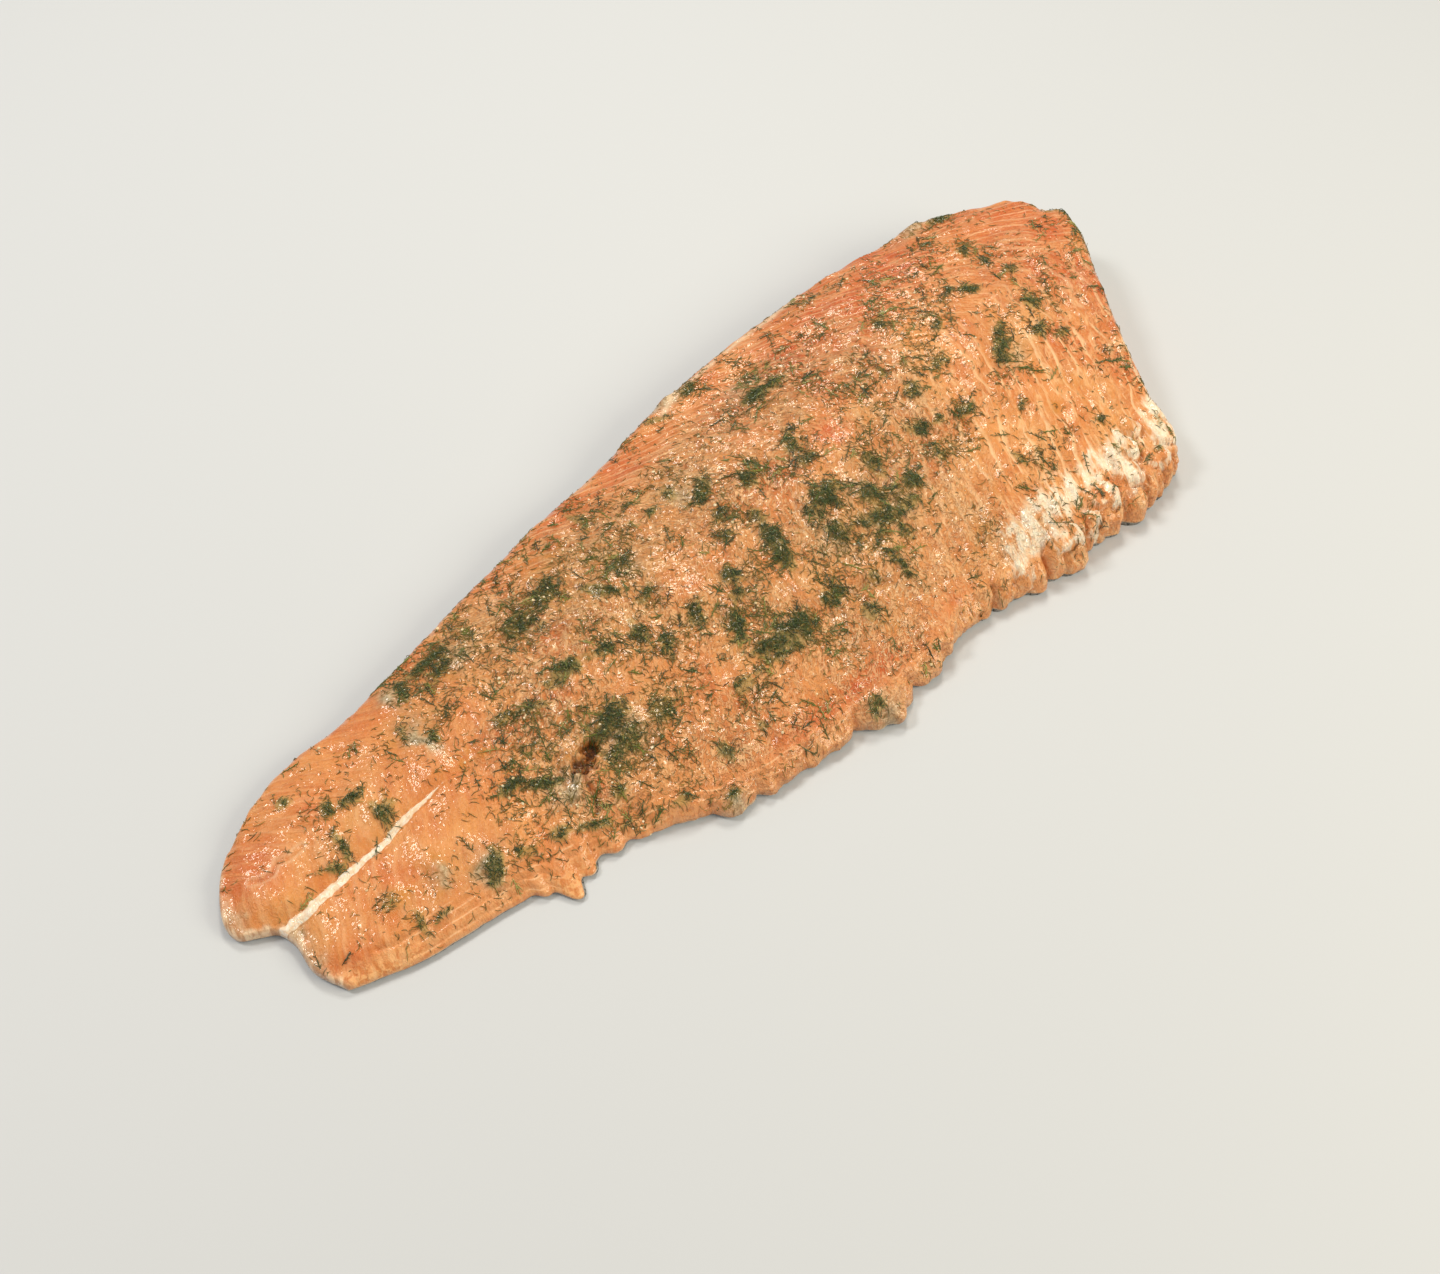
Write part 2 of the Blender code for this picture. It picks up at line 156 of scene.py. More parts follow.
# Pale grey and milky spots, where the surface has set
MILKY = [(-6, 12, 5, 9, 0.7), (10, -10, 4, 6, 0.9), (8, -20, 3, 8, 0.6), (106, 55, 5, 5, 1),
         (103, 25, 4, 11, 0.9), (87, -42, 6, 8, 1), (69, -32, 4, 6, 0.6), (135, -37, 8, 6, 1),
         (184, -91, 8, 6, 0.7), (268, -105, 10, 8, 0.7), (141, 47, 6, 7, 0.6),
         (170, -34, 12, 9, 0.5), (464, -12, 8, 5, 0.6), (352, -34, 9, 8, 0.4),
         (318, 99, 9, 4, 1), (352, 76, 12, 4, 0.5), (508, 97, 17, 5, 1),
         (406, 108, 22, 3, 0.7), (275, 44, 7, 7, 0.5), (232, 30, 8, 6, 0.4),
         (312, -28, 7, 12, 0.4), (340, -12, 5, 5, 0.6)]

# Clearings with little dill, where the flesh shows bright
CLEAR = [(259, 15, 12, 12, 0.9), (310, 8, 10, 13, 0.9), (356, 19, 12, 11, 0.7),
         (383, 0, 11, 11, 0.6), (349, -65, 18, 13, 0.7), (328, 61, 14, 6, 0.7),
         (296, 80, 18, 8, 0.6), (228, -1, 13, 7, 0.9), (225, -27, 10, 8, 0.8),
         (200, -21, 10, 7, 0.7), (241, -75, 24, 7, 0.8), (201, -53, 10, 8, 0.8),
         (195, -64, 9, 6, 0.6), (103, 14, 14, 15, 0.9), (420, -46, 28, 17, 0.6),
         (268, -88, 26, 7, 0.8)]

# Amber spots, where oil and juice have gathered
AMBER = [(70, -25, 6, 6, 0.9), (53, -25, 6, 5, 0.9), (64, -38, 5, 3, 0.7), (110, 4, 9, 3, 0.9),
         (133, 45, 2.5, 8, 0.9), (146, -26, 5, 3, 0.7), (93, 33, 3, 4, 0.7), (187, 20, 4, 4, 0.7),
         (406, -33, 4, 4, 0.9), (414, -33, 3, 4, 0.8), (457, -46, 4, 4, 0.9),
         (475, -38, 4, 4, 0.7), (475, -84, 4, 4, 0.9), (372, -70, 5, 7, 0.7),
         (362, -76, 6, 4, 0.5), (394, -60, 5, 5, 0.4), (300, -78, 4, 4, 0.6),
         (250, -82, 4, 3, 0.6), (500, -40, 3, 6, 0.6), (350, 55, 8, 5, 0.5), (424, -6, 4, 3, 0.6),
         (526, -6, 3, 4, 0.6), (46, -38, 5, 3, 0.7), (208, 62, 14, 8, 0.5)]

# Fresher, deeper orange flesh
DEEP = [(556, 60, 26, 26, 1), (250, -89, 42, 7, 1), (26, -36, 24, 12, 0.8),
        (6, 30, 22, 16, 0.5), (200, 18, 9, 7, 0.7), (316, 20, 16, 12, 0.6), (358, 22, 14, 12, 0.8),
        (540, -10, 26, 60, 0.9), (440, 84, 140, 32, 1), (250, 80, 80, 14, 0.8),
        (535, 50, 42, 44, 0.9), (145, -46, 5, 8, 0.9), (115, 4, 18, 4, 0.6),
        (330, 66, 44, 30, 0.7), (46, 34, 6, 8, 0.6), (380, 40, 34, 24, 0.5), (176, 30, 12, 8, 0.5),
        (500, -30, 14, 26, 0.7)]

# White fat by the belly edge of the head end
FAT = [(373, -94, 5, 8, 0.9), (382, -87, 6, 9, 1), (393, -88, 7, 11, 0.9),
       (408, -84, 10, 9, 0.9), (424, -84, 9, 9, 0.8), (436, -85, 7, 8, 0.8),
       (454, -88, 6, 11, 1), (458, -100, 7, 4, 0.8), (466, -80, 6, 6, 0.8),
       (447, -79, 6, 6, 0.6), (487, -92, 8, 9, 0.9), (497, -84, 7, 9, 0.9), (506, -78, 6, 8, 0.8),
       (512, -66, 5, 9, 0.7), (440, -97, 6, 5, 0.5), (398, -99, 7, 5, 0.5), (475, -86, 6, 7, 0.5),
       (500, -96, 6, 5, 0.6)]


def spline(points, t):
    """Smooth curve through the points, t from 0 to 1 by distance."""
    p = np.array(points, float)
    s = np.append(0, np.cumsum(np.linalg.norm(np.diff(p, axis=0), axis=1)))
    s /= s[-1]
    slope = np.gradient(p, s, axis=0)
    i = np.clip(np.searchsorted(s, t, side="right") - 1, 0, len(s) - 2)
    step = (s[i + 1] - s[i])[..., None]
    x = ((t - s[i]) / (s[i + 1] - s[i]))[..., None]
    start = (2 * x**3 - 3 * x**2 + 1) * p[i] + (x**3 - 2 * x**2 + x) * step * slope[i]
    end = (3 * x**2 - 2 * x**3) * p[i + 1] + (x**3 - x**2) * step * slope[i + 1]
    return start + end


def plan(u, v):
    """Place in plan of the point u along and v across the side."""
    belly, back = spline(BELLY, u), spline(BACK, u)
    tail, head = spline(TAIL_END, v), spline(HEAD_CUT, v)
    along, across = u[..., None], v[..., None]
    near = (1 - across) * np.array(BELLY[0]) + across * np.array(BACK[0])
    far = (1 - across) * np.array(BELLY[-1]) + across * np.array(BACK[-1])
    corners = (1 - along) * near + along * far
    return (1 - across) * belly + across * back + (1 - along) * tail + along * head - corners


def shoulder(distance, radius):
    """Rounding of an edge, 0 at the edge and 1 from the radius inwards."""
    return (1 - (1 - np.clip(distance / radius, 0, 1)) ** 2.3) ** (1 / 2.3)


def rise(low, high, value):
    """Smooth step from 0 at low to 1 at high."""
    t = np.clip((value - low) / (high - low), 0, 1)
    return t * t * (3 - 2 * t)


def spot(x, y, at_x, at_y, half_x, half_y):
    """Soft round spot, 1 in its middle."""
    return np.exp(-((x - at_x) / half_x) ** 2 - ((y - at_y) / half_y) ** 2)


def spots(x, y, places):
    """The strongest of several soft spots, each with its strength."""
    most = np.zeros(x.shape)
    for at_x, at_y, half_x, half_y, strength in places:
        most = np.maximum(most, strength * spot(x, y, at_x, at_y, half_x, half_y))
    return most


def uneven(x, y, size, seed):
    """Smooth random field from -1 to 1 with bumps of about the size in millimetres."""
    table = np.random.default_rng(seed).uniform(-1, 1, (256, 256))
    cell_x, cell_y = x / size, y / size
    column, row = np.floor(cell_x).astype(int), np.floor(cell_y).astype(int)
    part_x, part_y = cell_x - column, cell_y - row
    part_x, part_y = part_x**2 * (3 - 2 * part_x), part_y**2 * (3 - 2 * part_y)
    right, up = (column + 1) % 256, (row + 1) % 256
    column, row = column % 256, row % 256
    near = table[column, row] * (1 - part_x) + table[right, row] * part_x
    far = table[column, up] * (1 - part_x) + table[right, up] * part_x
    return near * (1 - part_y) + far * part_y


def from_line(x, y, points):
    """Distance to a line of points, and how far along it from 0 to 1."""
    best = np.full(x.shape, 1e9)
    where = np.zeros(x.shape)
    spans = len(points) - 1
    for index in range(spans):
        (ax, ay), (bx, by) = points[index], points[index + 1]
        reach = (bx - ax) ** 2 + (by - ay) ** 2
        t = np.clip(((x - ax) * (bx - ax) + (y - ay) * (by - ay)) / reach, 0, 1)
        distance = np.hypot(x - ax - t * (bx - ax), y - ay - t * (by - ay))
        nearer = distance < best
        best = np.where(nearer, distance, best)
        where = np.where(nearer, (index + t) / spans, where)
    return best, where


def reach_of(x, y, at_x, at_y, half_x, half_y, turn):
    """Distance from the middle of a turned oval, 1 on its rim."""
    angle = math.radians(turn)
    along = (x - at_x) * math.cos(angle) + (y - at_y) * math.sin(angle)
    across = (y - at_y) * math.cos(angle) - (x - at_x) * math.sin(angle)
    return np.hypot(along / half_x, across / half_y)


def matted(x, y):
    """How thickly the dill is matted at each place, 0 to 1, with ragged edges."""
    ragged = 1 + 0.5 * uneven(x, y, 7, 61) + 0.55 * uneven(x, y, 3.2, 62)
    thick = np.zeros(x.shape)
    for *oval, dense in CLUMPS:
        reach = reach_of(x, y, *oval) / np.clip(ragged, 0.25, 2)
        thick = np.maximum(thick, dense * (1 - rise(0.35, 1.2, reach)))
    return thick


u, v = np.meshgrid(
    np.interp(np.linspace(0, 1, ROWS_ALONG + 1), [0, 0.02, 0.98, 1], [0, 0.01, 0.985, 1]),
    np.interp(np.linspace(0, 1, ROWS_ACROSS + 1), [0, 0.10, 0.88, 1], [0, 0.05, 0.95, 1]),
    indexing="ij")
place = plan(u, v)
width = np.linalg.norm(spline(BELLY, u) - spline(BACK, u), axis=-1)
from_belly, from_back = v * width, (1 - v) * width
from_tail, from_head = u * LENGTH, (1 - u) * LENGTH

# lobes reach out of the belly edge, and folds cut back between them
inward = np.clip(1 - from_belly / LOBE_REACH, 0, 1) ** 2
edge_x = place[..., 0].copy()
for where, reach, half_width in LOBES:
    place[..., 1] -= reach * np.exp(-np.abs((edge_x - where) / half_width) ** 2.6) * inward
wander = 2.2 * uneven(edge_x, from_belly, 9, 5) + 1.0 * uneven(edge_x, from_belly, 4, 8)
# how deep the folds cut in; the material paints the same field as shade
crease = np.zeros(u.shape)
for where, depth, run, lean in CREASES:
    off = edge_x + wander * rise(1, 8, from_belly) - lean * from_belly - where
    cut = depth * np.exp(-(np.abs(off) / CREASE_WIDTH) ** 1.3)
    crease = np.maximum(crease, cut * (1 - rise(0.3 * run, run, from_belly)))
place[..., 1] += 0.9 * crease * (1 - rise(3, 12, from_belly))
torn = np.interp(edge_x, [40, 120, 190, 310, 350, 420], [0.3, 0.5, 1.0, 1.0, 0.8, 0.9])
ragged = uneven(edge_x, from_belly, 5, 6) + 0.5 * torn * uneven(edge_x, from_belly, 2.4, 7)
place[..., 1] -= torn * ragged * (1 - rise(1, 9, from_belly))
back_rag = uneven(edge_x, from_back, 7, 9) + 0.6 * uneven(edge_x, from_back, 2.4, 10)
place[..., 1] += 0.5 * back_rag * (1 - rise(1, 8, from_back))
x, y = place[..., 0], place[..., 1]


def lumps(size, seed):
    """Smooth random field over the face, from -1 to 1."""
    return uneven(x, y, size, seed)


# height of the smooth face over the skin side
ridge = np.interp(u, RIDGE_AT, RIDGE)
ridge_at = np.interp(u, [0, 0.5, 1], [0.55, 0.66, 0.72])
belly_edge = np.interp(u, BELLY_EDGE_AT, BELLY_EDGE)
back_edge = np.interp(u, BACK_EDGE_AT, BACK_EDGE)
climb = np.sin(np.pi / 2 * np.clip(v / ridge_at, 0, 1)) ** 1.1
fall = np.cos(np.pi / 2 * np.clip((v - ridge_at) / (1 - ridge_at), 0, 1)) ** 0.9
z = np.where(v < ridge_at, belly_edge + (ridge - belly_edge) * climb,
             back_edge + (ridge - back_edge) * fall)
edge = shoulder(from_belly, np.interp(u, [0, 0.08, 0.2, 0.6, 1], [3.5, 6, 11, 12, 9]))
edge *= shoulder(from_back, np.interp(u, [0, 0.08, 0.4, 1], [3.5, 7, 12, 12]))
edge *= shoulder(from_tail, 2.6)
edge *= shoulder(from_head, 9)
z = SKIN_LIP + (z - SKIN_LIP) * edge
thin = 1 - rise(0, 20, from_tail) * rise(0, 14, from_belly + np.clip(x - 150, 0, None))
thin = thin * (1 - rise(150, 200, x)) * rise(-60, 30, from_back + 30 * (y < 0))
z = SKIN_LIP + (z - SKIN_LIP) * (1 - 0.42 * thin) * (1 - 0.45 * spot(x, y, 108, -74, 13, 9))

# flakes of muscle: curved seams that meet in points along the middle of the side, each flake a
# low step over the next
below = np.clip(SEAM_APEX - y, 0, None)
above = np.clip(y - SEAM_APEX, 0, None)
seam_x = x + 0.42 * below + 1.05 * above + 0.018 * np.clip(above - 15, 0, None) ** 2
seam_x += 2.5 * lumps(45, 11) + 1.2 * lumps(16, 12)
rib = 1.5 * above - 1.08 * below
flake = seam_x / FLAKE + 0.35 * lumps(19, 33) + 0.16 * lumps(7, 34)
flake_step = np.mod(flake, 1)
flaky = rise(300, 430, x) * (0.5 + 0.5 * rise(10, -30, y)) * rise(-100, -86, y)
flaky = np.clip(np.maximum(flaky, 0.6 * rise(40, 60, y) * rise(60, 200, x)), 0, 1)
flaky = np.maximum(flaky, 0.22 * rise(95, 60, x))

# the white line of fat down the tail, the layered strip along the belly by the tail, and the
# pale membrane along the back
SPINE = [(7, -3), (20, -4.4), (40, -3), (50, -2), (60, -2), (70, 0), (80, 0.8), (96, 1.5)]
spine_distance, spine_along = from_line(x, y, SPINE)
spine_half = np.interp(spine_along, [0, 0.14, 0.3, 0.42, 0.6, 0.8, 1],
                       [2.4, 2.5, 2.1, 1.4, 1.7, 1.6, 0.3])
spine = spine_half + 0.45 * lumps(3, 14) + 0.4 * lumps(1.6, 35) - spine_distance
strip = rise(30, 50, x) * (1 - 0.3 * rise(205, 230, x)) * (1 - rise(300, 325, x))
strip *= 1 - rise(11, 15, from_belly)
strip *= 1 - spot(x, y, 109, -72, 11, 9)
end_face = 1 - rise(1.5, 6.5, from_tail + 2.4 * uneven(y, x, 3, 36))
BACK_MEMBRANE = [(309, 92), (320, 98), (345, 101.5), (380, 103.5), (420, 104)]
rim_distance = from_line(x, y, BACK_MEMBRANE)[0]
rim_line = np.exp(-(rim_distance / 1.8) ** 2) * rise(-0.7, -0.2, lumps(9, 45))

# hole, tear and slits
hole_reach = np.minimum(np.hypot((x - 148) / 6.4, (y + 33.5) / 4.4),
                        np.hypot((x - 154) / 6.0, (y + 29.5) / 4.4))
hole = 1 - rise(0.55, 1.15, hole_reach * (1 + 0.4 * lumps(3, 15)))
tear_distance = from_line(x, y, [(146, -36), (142, -40), (141, -47), (137, -53)])[0]
tear_side = rise(-3, 3, (x - 143) + 0.55 * (y + 45))
tear = np.exp(-(tear_distance / 1.8) ** 2)
lip = np.exp(-(tear_distance / 7) ** 2) * tear_side
slit_distance = np.full(u.shape, 99.0)
for line in ([(9, 23), (13, 20), (18, 19), (22, 22)], [(22, 22), (27, 20), (34, 21)],
             [(30, -38), (36, -41), (42, -42)]):
    slit_distance = np.minimum(slit_distance, from_line(x, y, line)[0])
slit = np.exp(-(slit_distance / 0.9) ** 2)
rim_line = np.maximum(rim_line, 0.45 * np.exp(-((slit_distance - 1.7) / 0.8) ** 2) * (y > 0))
nick_distance = from_line(x, y, [(300, -53), (305, -53), (310, -56), (315, -58)])[0]
nick = np.exp(-(nick_distance / 2.2) ** 2)

# curled flaps rise towards the corner and drop off sharply there, with a gap under the lip
curl = np.zeros(u.shape)
curl_lip = np.zeros(u.shape)
for *oval, height in CURLS:
    reach = reach_of(x, y, *oval) * (1 + 0.16 * lumps(6, 46) + 0.08 * lumps(2.6, 47))
    outward = (0.5 * (x - oval[0]) - 0.85 * (y - oval[1])) / (oval[2] + oval[3])
    outward = np.clip(0.55 + outward, 0, 1)
    curl = np.maximum(curl, height * outward * np.sqrt(1 - np.clip(reach, 0, 1) ** 4))
    curl_lip = np.maximum(curl_lip, outward * rise(0.45, 0.85, reach) * rise(1.06, 0.98, reach))
    # the gap under the lip is cut like a fold, and painted as shade with the folds
    crease = np.maximum(crease, 3.4 * outward * np.exp(-((reach - 1.12) / 0.09) ** 2))

# how wrinkled the surface is, where dill and cure lie, against the smooth tail, back and head
drawn_x = x + 3.2 * lumps(7, 41) + 1.6 * lumps(3, 42)
drawn_y = y + 3.2 * lumps(7, 43) + 1.6 * lumps(3, 44)
wrinkled = rise(85, 150, x) * (1 - 0.6 * rise(380, 450, x)) * rise(4, 16, from_belly)
wrinkled *= 1 - 0.85 * rise(40, 70, y - 0.06 * x)
wrinkled = np.clip(wrinkled * (0.8 + 0.45 * lumps(22, 16)), 0, 1)
wrinkled = np.maximum(wrinkled, 0.16 + 0.5 * rise(150, 200, x) * rise(14, 6, from_belly))
bare = spots(drawn_x, drawn_y, CLEAR)
wrinkled *= 1 - 0.35 * bare
mat = matted(x, y)
cure = spots(x, y, TANNED) * (0.7 + 0.6 * lumps(14, 18))
near_mats = matted(x + 2.5 * lumps(8, 63), y + 2.5 * lumps(8, 64))
cure = np.clip(np.maximum(cure, 0.7 * near_mats) * (1 - 0.7 * bare), 0, 1)
milky = np.clip(spots(drawn_x, drawn_y, MILKY) * (1.1 + 0.5 * lumps(6, 19)), 0, 1)
amber = np.clip(spots(drawn_x, drawn_y, AMBER) * (1 + 0.6 * lumps(3, 38)), 0, 1)
fatty = spots(drawn_x, drawn_y, FAT) * (1 + 0.35 * uneven(seam_x * 2.5, rib * 0.4, 7, 20))
fatty = np.clip(np.maximum(fatty, 0.8 * curl_lip), 0, 1)
deep = np.clip(spots(x, y, DEEP) + 0.4 * lumps(18, 21), 0, 1)
side_face = 1 - rise(3, 12, from_belly)

# relief in millimetres
relief = 0.7 * np.sin(x / 23 + y / 31) * np.sin(y / 17 - x / 41) + 0.9 * lumps(27, 37)
relief += 0.8 * (flake_step - 0.5) * rise(0, 0.12, flake_step) * flaky
relief -= 1.4 * np.exp(-((y - x * 0.04 + 3.5) / 4) ** 2) * np.clip((112 - x) / 30, 0, 1)
relief += 1.1 * np.sqrt(np.clip(spine, 0, 2))
relief -= 1.0 * np.exp(-((y - 22) / 9) ** 2) * np.clip((x - 130) / 80, 0, 1)
relief += 1.0 * lumps(12, 22) + 0.5 * uneven(seam_x, rib * 0.45, 6, 26) * (0.4 + flaky)
chunk = uneven(seam_x, rib * 0.6, 7, 29)
relief += wrinkled * (0.9 * chunk + 0.9 * lumps(4.6, 23) + 0.6 * lumps(2.8, 24))
relief -= 0.8 * crease
relief += 1.5 * fatty * (0.6 + uneven(seam_x * 1.6, rib * 0.4, 6, 27))
for at_x, at_y, half_x, half_y, height in MOUNDS:
    relief += height * spot(x, y, at_x, at_y, half_x, half_y)
relief += 1.2 * mat + curl
relief -= 6.5 * hole + 2.6 * tear + 1.3 * slit + 2.6 * nick
relief += 2.2 * lip
relief -= 0.6 * strip * np.exp(-((np.mod(from_belly, 4.2) - 2.1) / 0.7) ** 2)
z = z + relief * np.clip(edge * 1.3 - 0.2, 0, 1)
overhang = 1.4 * uneven(edge_x, z, 6, 28) + 0.7 * uneven(edge_x, z, 2.4, 39)
overhang += 1.1 * uneven(0.25 * edge_x, z, 2.2, 48)
y = y - overhang * side_face * rise(2, 6, z) * rise(180, 200, x)
z = np.maximum(z, 0.9 * SKIN_LIP)

# the highest places are eased down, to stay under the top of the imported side
proud = np.clip(z - SOFT_TOP, 0, None)
z = np.minimum(z, SOFT_TOP) + proud / (1 + proud / SOFT_ROOM)

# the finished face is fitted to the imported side, and closed underneath by its skin
low, high = (np.array(corner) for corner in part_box("gravlax_side"))
own_low = np.array([x.min(), y.min()])
own_high = np.array([x.max(), y.max()])
fit = (high[:2] - low[:2]) / (own_high - own_low)
points = np.stack([(x - own_low[0]) * fit[0] + low[0],
                   (y - own_low[1]) * fit[1] + low[1],
                   np.minimum(z * MM, high[2] - TOP_GAP * MM)], axis=-1)
rows, columns = u.shape
number = np.arange(rows * columns).reshape(rows, columns)
around = np.concatenate([number[:, 0], number[-1, 1:], number[-2::-1, -1], number[0, -2:0:-1]])
flat_points = points.reshape(-1, 3)
rim = flat_points[around]
towards = -rim[:, :2] / np.linalg.norm(rim[:, :2], axis=1)[:, None]
under = np.column_stack([rim[:, :2] + towards * UNDERCUT * MM, np.zeros(len(rim))])
quads = np.stack([number[:-1, :-1], number[1:, :-1], number[1:, 1:], number[:-1, 1:]], axis=-1)
under_number = len(flat_points) + np.arange(len(rim))
walls = np.stack([around, under_number, np.roll(under_number, -1), np.roll(around, -1)], axis=-1)
faces = quads.reshape(-1, 4).tolist() + walls.tolist() + [under_number[::-1].tolist()]
flesh_mesh = bpy.data.meshes.new("salmon_flesh")
flesh_mesh.from_pydata(np.vstack([flat_points, under]).tolist(), [], faces)
flesh_mesh.shade_smooth()

skin_line = 1.4 + rise(26, 12, from_back) * np.interp(x, [0, 100, 300, 580], [2, 5, 10, 12])
skin_line += 0.7 * lumps(12, 25)

# what the flesh's material reads: on the underside all of it is skin, in bands across the side
fields = dict(seam_x=seam_x * MM, rib=rib * MM, flaky=flaky, fatty=fatty, spine=spine, strip=strip,
              from_belly=from_belly, wrinkled=wrinkled, mat=mat * (1 - 0.85 * end_face), cure=cure,
              milky=milky, amber=amber, deep=deep, crease=crease / 6, side_face=side_face,
              pleated=side_face * rise(315, 350, x), hole=np.maximum(hole, 0.5 * tear),
              flake=flake, end_face=end_face, rim_line=rim_line, skin=skin_line - z, across=y)


def paint(mesh, name, values):
    """Paint a field on the points of a mesh."""
    layer = mesh.attributes.new(name, "FLOAT", "POINT")
    layer.data.foreach_set("value", values.astype(np.float32))


for name, field in fields.items():
    beneath = y.ravel()[around] if name == "across" else np.full(len(rim), 5.0 * (name == "skin"))
    paint(flesh_mesh, name, np.append(field.ravel(), beneath))


def linear(screen):
    """Screen colour from 0 to 255 as the shader's linear colour."""
    shares = (value / 255 for value in screen)
    return tuple(s / 12.92 if s < 0.04045 else ((s + 0.055) / 1.055) ** 2.4 for s in shares) + (1,)


class Finish:
    """A Principled material under construction."""

    def __init__(self, name):
        self.material = bpy.data.materials.new(name)
        self.material.use_nodes = True
        self.nodes = self.material.node_tree.nodes
        self.links = self.material.node_tree.links
        self.shader = self.nodes["Principled BSDF"]
        self.place = self.nodes.new("ShaderNodeTexCoord").outputs["Object"]
        self.shade = None

    def link(self, source, socket):
        """Join an output, or the field painted on the mesh under a name, or set a plain value."""
        if isinstance(source, str):
            node = self.nodes.new("ShaderNodeAttribute")
            node.attribute_name = source
            source = node.outputs["Fac"]
        if isinstance(source, bpy.types.NodeSocket):
            self.links.new(source, socket)
        else:
            socket.default_value = source

    def fill(self, node, sockets):
        """Link or set sockets of a node, their names with underscores for spaces."""
        for name, source in sockets.items():
            self.link(source, node.inputs[name.replace("_", " ")])

    def add(self, kind, **sockets):
        """A new node of the kind with these sockets filled."""
        node = self.nodes.new("ShaderNode" + kind)
        self.fill(node, sockets)
        return node

    def set(self, **sockets):
        """Fill sockets of the Principled shader."""
        self.fill(self.shader, sockets)

    def math(self, operation, first, second=0.0, third=0.0):
        """One sum."""
        node = self.nodes.new("ShaderNodeMath")
        node.operation = operation
        for socket, value in zip(node.inputs, (first, second, third)):
            self.link(value, socket)
        return node.outputs[0]

    def both(self, first, second, *more):
        """Product of two or more shares."""
        product = first
        for value in (second, *more):
            product = self.math("MULTIPLY", product, value)
        return product

    def step(self, value, low, high):
        """Smooth step of a value from 0 to 1."""
        node = self.add("MapRange", Value=value, From_Min=low, From_Max=high)
        node.interpolation_type = "SMOOTHSTEP"
        return node.outputs["Result"]

    def scaled(self, vector, stretch):
        """A place stretched along its axes."""
        return self.add("Mapping", Vector=vector, Scale=stretch).outputs[0]

    def noise(self, size, detail=3.0, distortion=0.0, place=None):
        """Cloudy noise with lumps of the size in millimetres, from 0 to 1."""
        node = self.add("TexNoise", Vector=self.place if place is None else place,
                        Scale=1 / (size * MM), Detail=detail, Roughness=0.55,
                        Distortion=distortion)
        return node.outputs["Fac"]

    def blend(self, share, first, second):
        """Mix two colours by a share. A plain colour is a screen colour from 0 to 255."""
        node = self.add("Mix", Factor=share)
        node.data_type = "RGBA"
        sockets = [socket for socket in node.inputs if socket.type == "RGBA"]
        for source, socket in zip((first, second), sockets):
            self.link(linear(source) if isinstance(source, tuple) else source, socket)
        return next(socket for socket in node.outputs if socket.type == "RGBA")

    def lay(self, share, over):
        """Lay a colour over the shade so far."""
        self.shade = self.blend(share, self.shade, over)

    def bump(self, height, depth, normal=None):
        """Fine relief of the depth in millimetres."""
        node = self.add("Bump", Height=height, Distance=depth * MM, Strength=1.0)
        if normal is not None:
            self.link(normal, node.inputs["Normal"])
        return node.outputs["Normal"]


flesh = Finish("cured_salmon_flesh")
step, both, blend, lay = flesh.step, flesh.both, flesh.blend, flesh.lay
noise, maths, bump = flesh.noise, flesh.math, flesh.bump
level = flesh.add("SeparateXYZ", Vector=flesh.place)
along_ribs = flesh.add("CombineXYZ", X="seam_x", Y="rib",
                       Z=maths("MULTIPLY", level.outputs["Z"], 0.5)).outputs[0]
cloud = noise(30, detail=2)
patch = noise(9, detail=3)
fine = noise(2.6, detail=4, distortion=0.8)
grain = noise(0.9, detail=3)
fibre = noise(2.6, detail=3, place=flesh.scaled(along_ribs, (1, 0.16, 1)))
streak = noise(7.0, detail=3, place=flesh.scaled(along_ribs, (1, 0.2, 1)))
worm = noise(3.4, detail=2, distortion=1.4, place=flesh.scaled(along_ribs, (1, 0.55, 1)))

flesh.shade = blend(step(cloud, 0.35, 0.68), (212, 124, 54), (225, 150, 78))
# painted light: the wrinkled middle is lightened against the shade of its own relief
lay(both("wrinkled", 0.4), (226, 162, 106))
lay(both("deep", 0.95), (204, 86, 12))
lay(both(step(fibre, 0.45, 0.7), 0.4), (238, 166, 98))
lay(both(step(fibre, 0.45, 0.25), 0.4), (190, 92, 40))
tint = both("cure", step(patch, 0.25, 0.55))
lay(both(tint, 0.65), (166, 134, 70))
# painted shade: darker in the hollows of the fine relief where the flesh is wrinkled
pit_shade = both(step(fine, 0.48, 0.34), "wrinkled")
lay(both(pit_shade, 0.5), (168, 98, 46))
# painted highlight: pale along the raised squiggles of the wrinkled flesh, where its wet film
# catches the light
squiggle = step(maths("ABSOLUTE", maths("SUBTRACT", worm, 0.5)), 0.10, 0.02)
squiggle_highlight = both(squiggle, "wrinkled", step(patch, 0.3, 0.55))
lay(both(squiggle_highlight, 0.7), (252, 206, 154))
# painted highlight: pale crumbs on the peaks of the fine grain relief
crumb_highlight = both(step(grain, 0.58, 0.68), "wrinkled", 0.35)
lay(crumb_highlight, (252, 208, 154))
# painted glints: small pale flecks over the flesh, more of them where it is wrinkled
glint_noise = noise(1.5, detail=2, distortion=0.6)
painted_glints = both(step(glint_noise, 0.66, 0.72), maths("ADD", "wrinkled", 0.1))
lay(painted_glints, (255, 226, 186))

